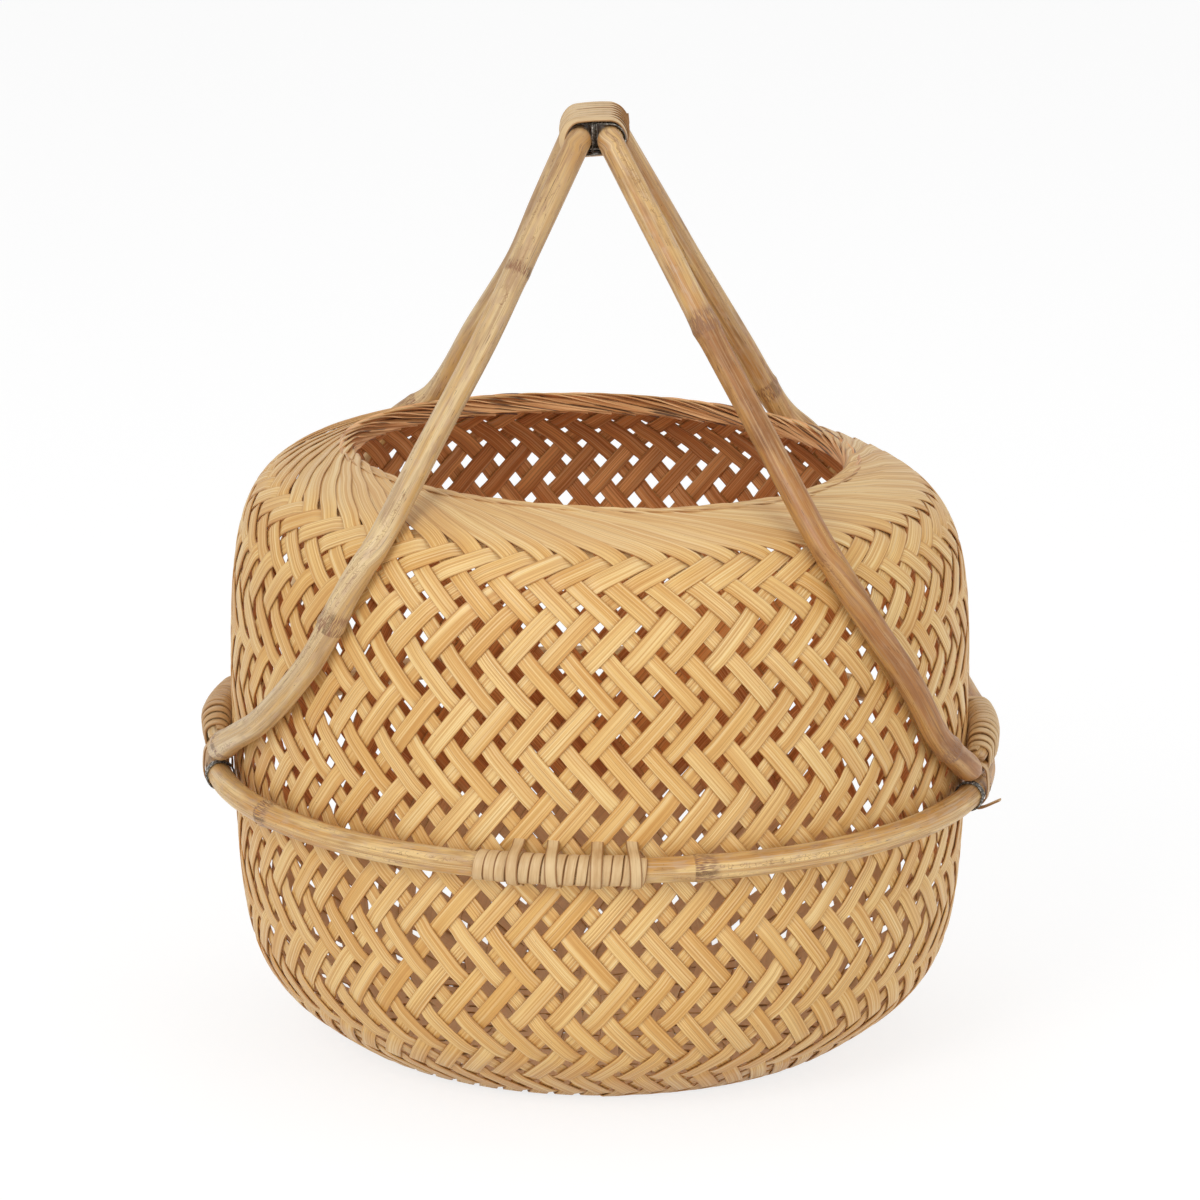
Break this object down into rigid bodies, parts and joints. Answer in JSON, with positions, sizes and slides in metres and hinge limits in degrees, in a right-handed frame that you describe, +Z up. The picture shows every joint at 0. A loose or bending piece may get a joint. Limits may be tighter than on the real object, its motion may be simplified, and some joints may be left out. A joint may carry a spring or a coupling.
{
  "type": "woven carrying basket",
  "caption": "Round-bellied bamboo basket in open twill weave, with a cane hoop round the belly and two cane handles lashed together into a carrying grip.",
  "frame": {"origin": "middle of the base, on the surface the basket stands on", "axes": "+Z up through the mouth to the grip, X across the basket from handle foot to handle foot, -Y the front with the hoop's joint"},
  "size_m": [0.4344, 0.4333, 0.5084],
  "materials": {
    "splint": "split bamboo, satin, fibre lines",
    "rim_splint": "split bamboo, darker, stacked edges",
    "cane": "smooth cane skin with nodes and brown patches",
    "peel": "rattan peel, satin",
    "wire": "dull dark iron wire"
  },
  "bodies": {
    "root": {"woven_wall": "splint", "woven_base": "splint", "rim_border": "rim_splint", "belt_hoop": "cane", "left_handle_cane": "cane", "right_handle_cane": "cane", "belt_lashing": "peel", "belt_tie_1": "peel", "belt_tie_2": "peel", "belt_tie_3": "peel", "belt_tie_4": "peel", "left_side_lashing": "peel", "right_side_lashing": "peel", "left_hoop_strap": "peel", "right_hoop_strap": "peel", "left_foot_wire": "wire", "right_foot_wire": "wire", "top_wire": "wire", "top_lashing": "peel"}
  },
  "joints": []
}
